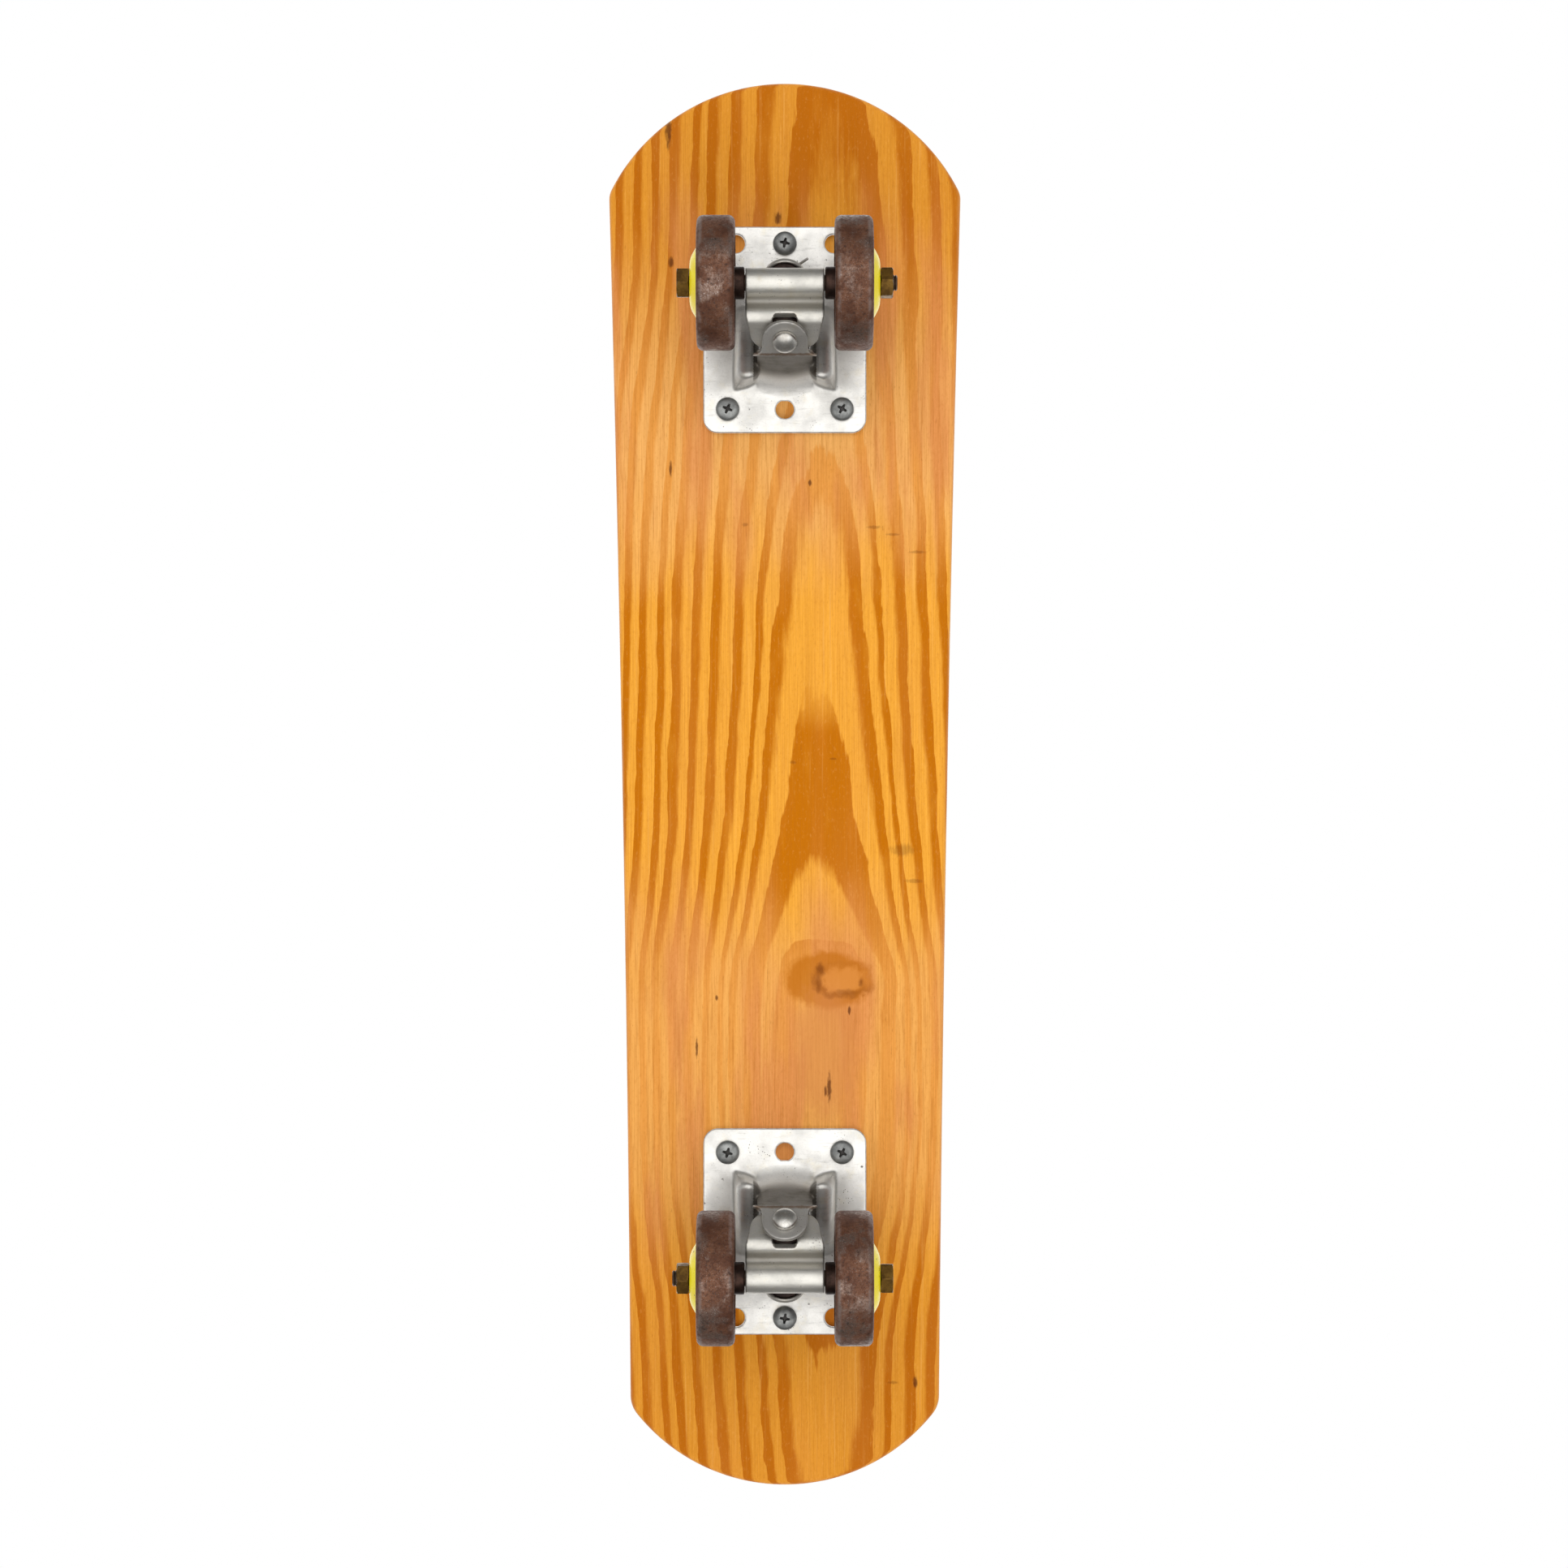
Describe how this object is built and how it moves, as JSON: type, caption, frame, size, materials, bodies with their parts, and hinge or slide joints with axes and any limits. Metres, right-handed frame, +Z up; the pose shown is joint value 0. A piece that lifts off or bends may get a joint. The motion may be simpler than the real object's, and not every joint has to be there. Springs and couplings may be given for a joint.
{
  "type": "skateboard",
  "caption": "Small wooden sidewalk skateboard: a varnished plank on pressed-steel trucks that steer on cushioned king pins, with steel wheels that spin.",
  "frame": {"origin": "on the ground under the middle of the board, wheels on Z = 0", "axes": "+X towards the nose, +Y to the rider's left, +Z up"},
  "size_m": [0.565, 0.1416, 0.0855],
  "materials": {
    "pine": "varnished pine, worn, honey-orange",
    "plate_paint": "silver paint on pressed steel, satin, specked",
    "hanger_steel": "silver paint on stamped steel, satin, worn",
    "grey_zinc": "dull grey zinc plating",
    "pin_steel": "plain steel, slightly tarnished",
    "axle_steel": "dark oiled steel",
    "nut_brown": "brown-brassy plating, dull",
    "cone_steel": "dark brown hardened steel, oiled",
    "rusty_steel": "rolled steel, rusted brown and polished by wear",
    "disc_steel": "dark rusted pressed steel",
    "yellow_enamel": "yellow enamel, glossy, chipped",
    "ball_steel": "polished bearing steel",
    "black_rubber": "aged black rubber, matte"
  },
  "bodies": {
    "board": {"deck": "pine", "front_base_plate": "plate_paint", "front_outer_screw": "grey_zinc", "front_inner_left_screw": "grey_zinc", "front_inner_right_screw": "grey_zinc", "front_king_pin": "pin_steel", "front_upper_cushion": "black_rubber", "front_lower_cushion": "black_rubber", "front_cup_washer": "plate_paint", "front_flat_washer": "grey_zinc", "front_cotter_pin": "pin_steel", "rear_base_plate": "plate_paint", "rear_outer_screw": "grey_zinc", "rear_inner_left_screw": "grey_zinc", "rear_inner_right_screw": "grey_zinc", "rear_king_pin": "pin_steel", "rear_upper_cushion": "black_rubber", "rear_lower_cushion": "black_rubber", "rear_cup_washer": "plate_paint", "rear_flat_washer": "grey_zinc", "rear_cotter_pin": "pin_steel"},
    "front_truck": {"front_hanger": "hanger_steel", "front_axle": "axle_steel", "front_left_inner_cone": "cone_steel", "front_left_outer_cone": "cone_steel", "front_left_axle_nut": "nut_brown", "front_right_inner_cone": "cone_steel", "front_right_outer_cone": "cone_steel", "front_right_axle_nut": "nut_brown"},
    "rear_truck": {"rear_hanger": "hanger_steel", "rear_axle": "axle_steel", "rear_left_inner_cone": "cone_steel", "rear_left_outer_cone": "cone_steel", "rear_left_axle_nut": "nut_brown", "rear_right_inner_cone": "cone_steel", "rear_right_outer_cone": "cone_steel", "rear_right_axle_nut": "nut_brown"},
    "front_left_wheel": {"front_left_tyre": "rusty_steel", "front_left_wheel_disc": "disc_steel", "front_left_hub_cap": "yellow_enamel"},
    "front_left_balls": {"front_left_inner_ball_ring": "ball_steel", "front_left_outer_ball_ring": "ball_steel"},
    "front_right_wheel": {"front_right_tyre": "rusty_steel", "front_right_wheel_disc": "disc_steel", "front_right_hub_cap": "yellow_enamel"},
    "front_right_balls": {"front_right_inner_ball_ring": "ball_steel", "front_right_outer_ball_ring": "ball_steel"},
    "rear_left_wheel": {"rear_left_tyre": "rusty_steel", "rear_left_wheel_disc": "disc_steel", "rear_left_hub_cap": "yellow_enamel"},
    "rear_left_balls": {"rear_left_inner_ball_ring": "ball_steel", "rear_left_outer_ball_ring": "ball_steel"},
    "rear_right_wheel": {"rear_right_tyre": "rusty_steel", "rear_right_wheel_disc": "disc_steel", "rear_right_hub_cap": "yellow_enamel"},
    "rear_right_balls": {"rear_right_inner_ball_ring": "ball_steel", "rear_right_outer_ball_ring": "ball_steel"}
  },
  "joints": [
    {"name": "front_steer", "type": "hinge", "parent": "board", "child": "front_truck", "pos_m": [0.1739, 0, 0.0232], "axis": [0.6756, 0, 0.7373], "range_deg": [-10, 10], "stiffness_Nm_per_rad": 20},
    {"name": "rear_steer", "type": "hinge", "parent": "board", "child": "rear_truck", "pos_m": [-0.1711, 0, 0.0232], "axis": [-0.6756, 0, 0.7373], "range_deg": [-10, 10], "stiffness_Nm_per_rad": 20},
    {"name": "front_left_wheel_spin", "type": "hinge", "parent": "front_truck", "child": "front_left_wheel", "pos_m": [0.197, 0.0271, 0.0265], "axis": [0, 1, 0], "continuous": true},
    {"name": "front_left_ball_spin", "type": "hinge", "parent": "front_truck", "child": "front_left_balls", "pos_m": [0.197, 0.0271, 0.0265], "axis": [0, 1, 0], "continuous": true},
    {"name": "front_right_wheel_spin", "type": "hinge", "parent": "front_truck", "child": "front_right_wheel", "pos_m": [0.197, -0.0271, 0.0265], "axis": [0, 1, 0], "continuous": true},
    {"name": "front_right_ball_spin", "type": "hinge", "parent": "front_truck", "child": "front_right_balls", "pos_m": [0.197, -0.0271, 0.0265], "axis": [0, 1, 0], "continuous": true},
    {"name": "rear_left_wheel_spin", "type": "hinge", "parent": "rear_truck", "child": "rear_left_wheel", "pos_m": [-0.1942, 0.0271, 0.0265], "axis": [0, 1, 0], "continuous": true},
    {"name": "rear_left_ball_spin", "type": "hinge", "parent": "rear_truck", "child": "rear_left_balls", "pos_m": [-0.1942, 0.0271, 0.0265], "axis": [0, 1, 0], "continuous": true},
    {"name": "rear_right_wheel_spin", "type": "hinge", "parent": "rear_truck", "child": "rear_right_wheel", "pos_m": [-0.1942, -0.0271, 0.0265], "axis": [0, 1, 0], "continuous": true},
    {"name": "rear_right_ball_spin", "type": "hinge", "parent": "rear_truck", "child": "rear_right_balls", "pos_m": [-0.1942, -0.0271, 0.0265], "axis": [0, 1, 0], "continuous": true}
  ],
  "couplings": [
    {"joint": "front_left_ball_spin", "follows": "front_left_wheel_spin", "ratio": 0.6508},
    {"joint": "front_right_ball_spin", "follows": "front_right_wheel_spin", "ratio": 0.6508},
    {"joint": "rear_left_ball_spin", "follows": "rear_left_wheel_spin", "ratio": 0.6508},
    {"joint": "rear_right_ball_spin", "follows": "rear_right_wheel_spin", "ratio": 0.6508}
  ]
}
